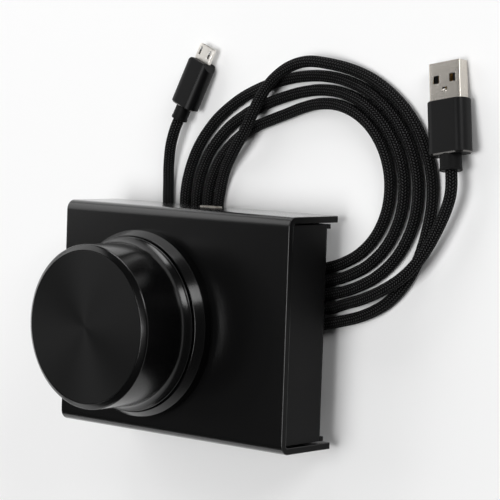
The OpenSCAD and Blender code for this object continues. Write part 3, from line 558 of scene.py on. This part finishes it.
# ---- Top cover -----------------------------------------------------------
# One 2.2 mm aluminium sheet with its front and rear edges bent down, blasted and
# dyed satin black. The notch in the rear flange leaves the port free, and the
# encoder's bushing comes up through a round hole under the knob.
CASE_W, CASE_D = 100.0, 76.0
FLANGE_Z, PLATE_Z, SHEET, COVER_BEND_R, COVER_EASE = 5.0, 29.4, 2.2, 3.3, 0.22
KNOB_X, KNOB_Y, BUSHING_HOLE_R = -12.2, -1.1, 3.6
PORT_HALF, PORT_TOP = 4.6, 13.3
satin_black = grained("satin_black_dye", (0.0014, 0.0014, 0.0015), 0.24, specular=0.14,
                      grain=0.12, drift=0.02)
sealed = satin_black.node_tree.nodes["Principled BSDF"]
for key, value in (("Coat Weight", 1.0), ("Coat Roughness", 0.23), ("Coat IOR", 1.4)):
    sealed.inputs[key].default_value = value
sheared_black = grained("sheared_edge_dye", (0.0014, 0.0014, 0.0015), 0.45, specular=0.12)


def bent_sheet(bm, line, sweep, radius, segments=10):
    """A strip along an open line of three straight runs, its two folds rounded."""
    points = [bm.verts.new(p) for p in line]
    runs = [bm.edges.new(pair) for pair in zip(points, points[1:])]
    made = bmesh.ops.extrude_edge_only(bm, edges=runs)["geom"]
    bmesh.ops.translate(bm, vec=sweep,
                        verts=[g for g in made if isinstance(g, bmesh.types.BMVert)])
    settle(bm)
    round_off(bm, [e for e in bm.edges if len(e.link_faces) == 2], radius, segments)


def pierce(bm, z, holes, radius, segments=48):
    """Opens round holes in the flat face that lies at a height."""
    flat = max((f for f in bm.faces if all(abs(v.co.z - z) < 1e-3 for v in f.verts)),
               key=lambda f: f.calc_area())
    rim = list(flat.edges)
    bmesh.ops.delete(bm, geom=[flat], context="FACES_ONLY")
    for x, y in holes:
        ring = bmesh.ops.create_circle(bm, segments=segments, radius=radius,
                                       matrix=Matrix.Translation((x, y, z)))
        rim += once(e for v in ring["verts"] for e in v.link_edges)
    bmesh.ops.triangle_fill(bm, edges=rim, use_beauty=True)
    settle(bm)


def thicken(bm, thickness, ease, inside):
    """Gives a sheet its thickness towards a point and breaks its cut edges."""
    bmesh.ops.recalc_face_normals(bm, faces=bm.faces)
    if sum(f.normal.dot(f.calc_center_median() - Vector(inside)) * f.calc_area()
           for f in bm.faces) < 0:
        bmesh.ops.reverse_faces(bm, faces=bm.faces)
    bmesh.ops.solidify(bm, geom=bm.faces[:], thickness=thickness)
    settle(bm)
    round_off(bm, [e for e in bm.edges if len(e.link_faces) == 2
                   and e.calc_face_angle(0) > math.radians(60)], ease, 2)


def on_rear(face):
    return all(abs(v.co.y - CASE_D / 2) < 1e-3 for v in face.verts)


bm = bmesh.new()
bent_sheet(bm, [(-CASE_W / 2, y * CASE_D / 2, z) for y, z in
                ((1, FLANGE_Z), (1, PLATE_Z), (-1, PLATE_Z), (-1, FLANGE_Z))],
           (CASE_W, 0, 0), COVER_BEND_R)
for spot, way in (((-PORT_HALF, 0, 0), (1, 0, 0)), ((PORT_HALF, 0, 0), (1, 0, 0)),
                  ((0, 0, PORT_TOP), (0, 0, 1))):
    score(bm, [f for f in bm.faces if on_rear(f)], spot, way)
notch = [f for f in bm.faces if on_rear(f) and abs(f.calc_center_median().x) < PORT_HALF
         and f.calc_center_median().z < PORT_TOP]
bmesh.ops.delete(bm, geom=notch, context="FACES")
pierce(bm, PLATE_Z, [(KNOB_X, KNOB_Y)], BUSHING_HOLE_R)
thicken(bm, SHEET, COVER_EASE, (0, 0, 15))
for face in bm.faces:
    face.material_index = int(all(abs(v.co.x) > CASE_W / 2 - 0.001 for v in face.verts))
piece(bm, "cover_sheet", [satin_black, sheared_black], "case", "cover_black", "top_cover",
      crease=30)

# ---- Base pan ------------------------------------------------------------
# A thinner steel sheet, powder coated, whose bent-up ends close the case. It sits
# inside the cover, a little in from its cut edges, and stands on the four feet.
PAN_X, PAN_Y, PAN_Z, PAN_T, PAN_BEND_R, WALL_TOP_Z = 48.8, 35.3, 7.5, 1.5, 2.2, 26.7
EAR_LEN, EAR_DROP, PAN_EASE = 1.5, 0.4, 0.15
FOOT_X, FOOT_Y, FOOT_HOLE_R = 35.5, 29.0, 1.7
powder_black = grained("powder_coat_black", (0.0045, 0.0045, 0.0047), 0.5, specular=0.12,
                       grain=0.5, size=0.0005)
bm = bmesh.new()
bent_sheet(bm, [(-PAN_X, -PAN_Y, WALL_TOP_Z), (-PAN_X, -PAN_Y, PAN_Z), (PAN_X, -PAN_Y, PAN_Z),
                (PAN_X, -PAN_Y, WALL_TOP_Z)], (0, 2 * PAN_Y, 0), PAN_BEND_R, 8)
feet_at = [(sx * FOOT_X, sy * FOOT_Y) for sx in (-1, 1) for sy in (-1, 1)]
pierce(bm, PAN_Z, feet_at, FOOT_HOLE_R, 32)
thicken(bm, PAN_T, PAN_EASE, (0, 0, 20))
for sx in (-1, 1):
    for sy in (-1, 1):
        x = sorted((sx * PAN_X, sx * (PAN_X - PAN_T)))
        y = sorted((sy * PAN_Y, sy * (PAN_Y - EAR_LEN)))
        block(bm, (x[0], y[0], PAN_Z - EAR_DROP), (x[1], y[1], PAN_Z + PAN_T), PAN_EASE)
piece(bm, "pan_sheet", powder_black, "case", "pan_black", "base_pan", crease=30)

# ---- Feet, screws and pillars --------------------------------------------
# Four turned rubber feet. A cross-head screw through each holds the pan to a
# steel pillar under the cover.
FOOT_PROFILE = [(3.0, 0), (4.0, 0), (4.6, 0.6), (5.0, 7.5), (1.6, 7.5), (1.6, 3.4), (3.0, 3.4)]
foot_rubber = grained("foot_rubber", (0.011, 0.011, 0.011), 0.72, specular=0.3, grain=0.6,
                      size=0.0006)
for end, y in (("front", -FOOT_Y), ("rear", FOOT_Y)):
    for side, x in (("left", -FOOT_X), ("right", FOOT_X)):
        name = f"foot_{end}_{side}"
        piece(turned_part(FOOT_PROFILE, ease=0.12, steps=64, centre=(x, y, 0)),
              name + "_rubber", foot_rubber, "case", "foot_rubber", name)
zinc = grained("zinc_plate", (0.5, 0.5, 0.52), 0.34, metallic=1.0, fleck=0.08)
dress(zinc, "foot_screws", "cover_standoffs")

# ---- Bezel ring ----------------------------------------------------------
# A turned aluminium dish under the knob, dyed with the cover. The encoder's nut
# clamps its thin floor to the cover, and the knob's skirt turns just above its rim.
BEZEL_PROFILE = [(BUSHING_HOLE_R, 0), (31.1, 0), (31.1, 3.4), (29.4, 6.4), (27.2, 6.4),
                 (27.2, 1.2), (BUSHING_HOLE_R, 1.2)]
POLAR_LEAN, POLAR_SPAN = 1.7, 25
TURNED_STEPS = 256


def map_turning(bm):
    """A UV map that runs round a part turned about the Z axis, in the way of its tool marks."""
    polar = bm.loops.layers.uv.new("polar")
    for face in bm.faces:
        centre = face.calc_center_median()
        middle = math.atan2(centre.y, centre.x) / (2 * math.pi)
        for loop in face.loops:
            spot = loop.vert.co
            reach, turn = math.hypot(spot.x, spot.y), math.atan2(spot.y, spot.x) / (2 * math.pi)
            turn = middle if reach < 1e-3 else turn + round(middle - turn)
            loop[polar].uv = (turn, (reach - POLAR_LEAN * spot.z) / POLAR_SPAN)


def show_turning(finished, amount, way):
    """Draws a material's gloss out along the tool marks, or across them at a quarter turn."""
    tree = finished.node_tree
    shader = tree.nodes["Principled BSDF"]
    shader.inputs["Anisotropic"].default_value = amount
    shader.inputs["Anisotropic Rotation"].default_value = way
    tangent = tree.nodes.new("ShaderNodeTangent")
    tangent.direction_type, tangent.uv_map = "UV_MAP", "polar"
    tree.links.new(tangent.outputs[0], shader.inputs["Tangent"])


turned_black = grained("turned_black_dye", (0.0014, 0.0014, 0.0015), 0.2, specular=0.4,
                       grain=0.06, drift=0.01)
show_turning(turned_black, 0.4, 0.25)
bm = turned_part(BEZEL_PROFILE, ease=0.18, steps=TURNED_STEPS, min_turn=20)
map_turning(bm)
bmesh.ops.translate(bm, vec=(KNOB_X, KNOB_Y, PLATE_Z), verts=bm.verts)
piece(bm, "bezel_dish", turned_black, "case", "bezel_black", "bezel_ring")

# ---- Encoder -------------------------------------------------------------
# A bought push encoder: a nickelled bushing on a sheet plate, a moulded body with
# tinned terminals, and a slim nut over a toothed washer. Its shaft turns, and
# presses a small white plunger.
tin = grained("tinned_terminal", (0.68, 0.68, 0.66), 0.35, metallic=1.0, fleck=0.05)
acetal_white = grained("white_acetal", (0.72, 0.71, 0.66), 0.45, specular=0.45, grain=0.2,
                       fleck=0.04)
phenolic = grained("dark_phenolic", (0.02, 0.028, 0.023), 0.5, specular=0.45, grain=0.4,
                   size=0.0004)
dress(nickel, "encoder_nut", "encoder_bushing", "encoder_shaft")
dress(spring_steel, "lock_washer")
dress(tin, "encoder_terminals")
dress(phenolic, "encoder_housing")
dress(acetal_white, "push_plunger")

# ---- Knob ----------------------------------------------------------------
# A deep cup turned from aluminium bar, dyed black, with a bevelled shoulder round
# the face and a skirt that flares over the ring. A disc with a spun face is let
# into its top. Inside, a moulded hub with a brass bush takes the shaft and screw.
WALL_INNER_R, SEAT_Z = 24.2, 26.4
KNOB_PROFILE = [
    (0, 24.8), (4.5, 24.8), (4.5, 23.6), (WALL_INNER_R, 23.6), (WALL_INNER_R, 10.1),
    (26.2, 7.2), (29.0, 7.2), (29.0, 7.55), (28.55, 7.9), (27.9, 8.75), (27.45, 9.5),
    (27.15, 10.3), (27.0, 11.3), (27.0, 26.0), (26.5, 26.5), (25.1, 27.4), (25.1, SEAT_Z),
    (0, SEAT_Z)]
bm = turned_part(KNOB_PROFILE, ease=0.2, steps=TURNED_STEPS, min_turn=14)
# The hole for the key of the grub screw, bored through the wall on the left
GRUB_HOLE_R, GRUB_HOLE_SIDES, BORE_MARGIN_Y, BORE_MARGIN_Z = 1.8, 16, 4, 3
grub_spot = Vector((0, 0, 14.5))
turns = [k * 2 * math.pi / GRUB_HOLE_SIDES for k in range(GRUB_HOLE_SIDES)]
hole_sides = [Vector((0, math.cos(a), math.sin(a))) for a in turns]
for way in hole_sides:
    wall = [f for f in bm.faces
            if all(v.co.x < 1 - WALL_INNER_R and abs(v.co.y) < BORE_MARGIN_Y for v in f.verts)
            and min(v.co.z for v in f.verts) < grub_spot.z + BORE_MARGIN_Z
            and max(v.co.z for v in f.verts) > grub_spot.z - BORE_MARGIN_Z]
    score(bm, wall, grub_spot + GRUB_HOLE_R * way, way)
bored = []
for face in bm.faces:
    middle = face.calc_center_median()
    if middle.x < 1 - WALL_INNER_R and all((middle - grub_spot).dot(way) < GRUB_HOLE_R
                                           for way in hole_sides):
        bored.append(face)
bmesh.ops.delete(bm, geom=bored, context="FACES")
bmesh.ops.bridge_loops(bm, edges=[e for e in bm.edges if e.is_boundary])
map_turning(bm)
bmesh.ops.translate(bm, vec=(KNOB_X, KNOB_Y, PLATE_Z), verts=bm.verts)
piece(bm, "knob_cup", turned_black, "knob", "knob_black", "knob_shell", crease=28)

# The disc's fine grain runs in circles, and draws its gloss out to a faint fan
DISC_R, DISC_T, DISC_EASE = 25.02, 1.0, 0.18
TOOL_MARKS, TOOL_MARK_DEPTH = 260.0, 0.00001
bm = turned_part([(0, 0), (DISC_R, 0), (DISC_R, DISC_T - DISC_EASE),
                  (DISC_R - DISC_EASE, DISC_T), (0, DISC_T)], steps=TURNED_STEPS)
map_turning(bm)
bmesh.ops.translate(bm, vec=(KNOB_X, KNOB_Y, PLATE_Z + SEAT_Z), verts=bm.verts)
spun, tree, shader = finish("spun_black_face", (0.004, 0.004, 0.0041), 0.42, specular=0.18)
show_turning(spun, 0.65, 0.0)
uv = tree.nodes.new("ShaderNodeUVMap")
uv.uv_map = "polar"
feed(tree, "SeparateXYZ", i0=uv.outputs[0])
reach = tree.nodes["Separate XYZ"].outputs[1]
marks = feed(tree, "TexNoise", {"noise_dimensions": "1D"}, W=reach, Scale=TOOL_MARKS, Detail=4.0)
tree.links.new(feed(tree, "Bump", Strength=0.25, Distance=TOOL_MARK_DEPTH, Height=marks),
               shader.inputs["Normal"])
tree.links.new(calc(tree, "MULTIPLY_ADD", marks, 0.1, 0.37), shader.inputs["Roughness"])
tree.links.new(blend_colour(tree, marks, (0.003, 0.003, 0.0031), (0.0055, 0.0055, 0.0056)),
               shader.inputs["Base Color"])
piece(bm, "knob_face", spun, "knob", "disc_black", "knob_disc", weighted=False)
dress(moulded_black, "knob_hub")
brass = grained("turned_brass", (0.78, 0.56, 0.24), 0.28, metallic=1.0, fleck=0.06)
dress(brass, "knob_bush")
dress(spring_steel, "grub_screw")

# ---- Circuit boards and port ---------------------------------------------
# Two green glass-fibre boards joined by a pin header, on four threaded brass
# posts. The main board carries the controller, its crystal, a row of capacitors
# and, hanging at its rear edge, the nickelled port that shows in the notch.
TRACK_SCALE, TRACK_WIDTH, CLOTH_SCALE = 110.0, 0.045, 2500.0
mask, tree, shader = finish("green_solder_mask", (0.01, 0.09, 0.035), 0.3, specular=0.5)
spot = tree.nodes.new("ShaderNodeTexCoord").outputs["Object"]
tracks = feed(tree, "TexBrick", {"offset": 0.35, "squash": 0.6, "squash_frequency": 3},
              Vector=spot, Scale=TRACK_SCALE, Mortar_Size=TRACK_WIDTH, Color1=(0, 0, 0, 1),
              Color2=(0.25, 0.25, 0.25, 1), Mortar=(1, 1, 1, 1))
cloth = feed(tree, "TexNoise", Vector=spot, Scale=CLOTH_SCALE, Detail=2.0)
green = blend_colour(tree, calc(tree, "MULTIPLY_ADD", cloth, 0.15, tracks),
                     (0.006, 0.06, 0.024), (0.02, 0.15, 0.055))
tree.links.new(green, shader.inputs["Base Color"])
tree.links.new(feed(tree, "Bump", Strength=0.4, Distance=0.00004, Height=tracks),
               shader.inputs["Normal"])
ceramic = grained("capacitor_ceramic", (0.42, 0.31, 0.2), 0.4, specular=0.5, grain=0.15)
dress(mask, "encoder_board", "main_board")
dress(brass, "board_posts")
dress(zinc, "board_screws")
dress(moulded_black, "board_header", "controller_chip", "port_tongue")
dress(nickel, "crystal_can", "port_shell")
dress(ceramic, "chip_capacitors")

# ---- Desk and studio light -----------------------------------------------
# A white desk in a dark room, lit from above by one softbox. The four low ones at
# its sides are there for the black metal, whose edges and bends mirror them.
DESK_HALF, DESK_Z, ROOM_GLOW = 6, -0.0001, 0.06
bm = bmesh.new()
bmesh.ops.create_grid(bm, x_segments=1, y_segments=1, size=DESK_HALF)
bmesh.ops.translate(bm, vec=(0, 0, DESK_Z), verts=bm.verts)
desk_mesh = bpy.data.meshes.new("desk")
bm.to_mesh(desk_mesh)
bm.free()
desk = bpy.data.objects.new("desk", desk_mesh)
bpy.context.scene.collection.objects.link(desk)
white, tree, shader = finish("white_desk", (0.93, 0.93, 0.93), 0.85, specular=0.2)
desk_mesh.materials.append(white)


def softbox(name, spot, size, power):
    """A rectangular lamp, in metres and watts, that faces the middle of the case."""
    light = bpy.data.lights.new(name, "AREA")
    light.shape = "RECTANGLE"
    light.size, light.size_y = size
    light.energy = power
    box = bpy.data.objects.new(name, light)
    box.location = spot
    box.rotation_euler = (-Vector(spot)).to_track_quat("-Z", "Y").to_euler()
    bpy.context.scene.collection.objects.link(box)


softbox("right softbox", (0.99, 0.7, 0.5), (0.4, 0.6), 5.5)
softbox("top softbox", (0.05, -0.05, 1.55), (0.8, 0.8), 16)
softbox("rear softbox", (-0.118, 1.353, 0.339), (0.8, 0.35), 6.5)
softbox("left softbox", (-1.035, 0.55, 0.547), (1.15, 1.0), 6.5)
softbox("front softbox", (-0.75, -1.1, 0.25), (1.0, 0.4), 1.6)
room = bpy.data.worlds.new("room")
bpy.context.scene.world = room
room.use_nodes = True
room.node_tree.nodes["Background"].inputs[0].default_value = (1, 1, 1, 1)
room.node_tree.nodes["Background"].inputs[1].default_value = ROOM_GLOW
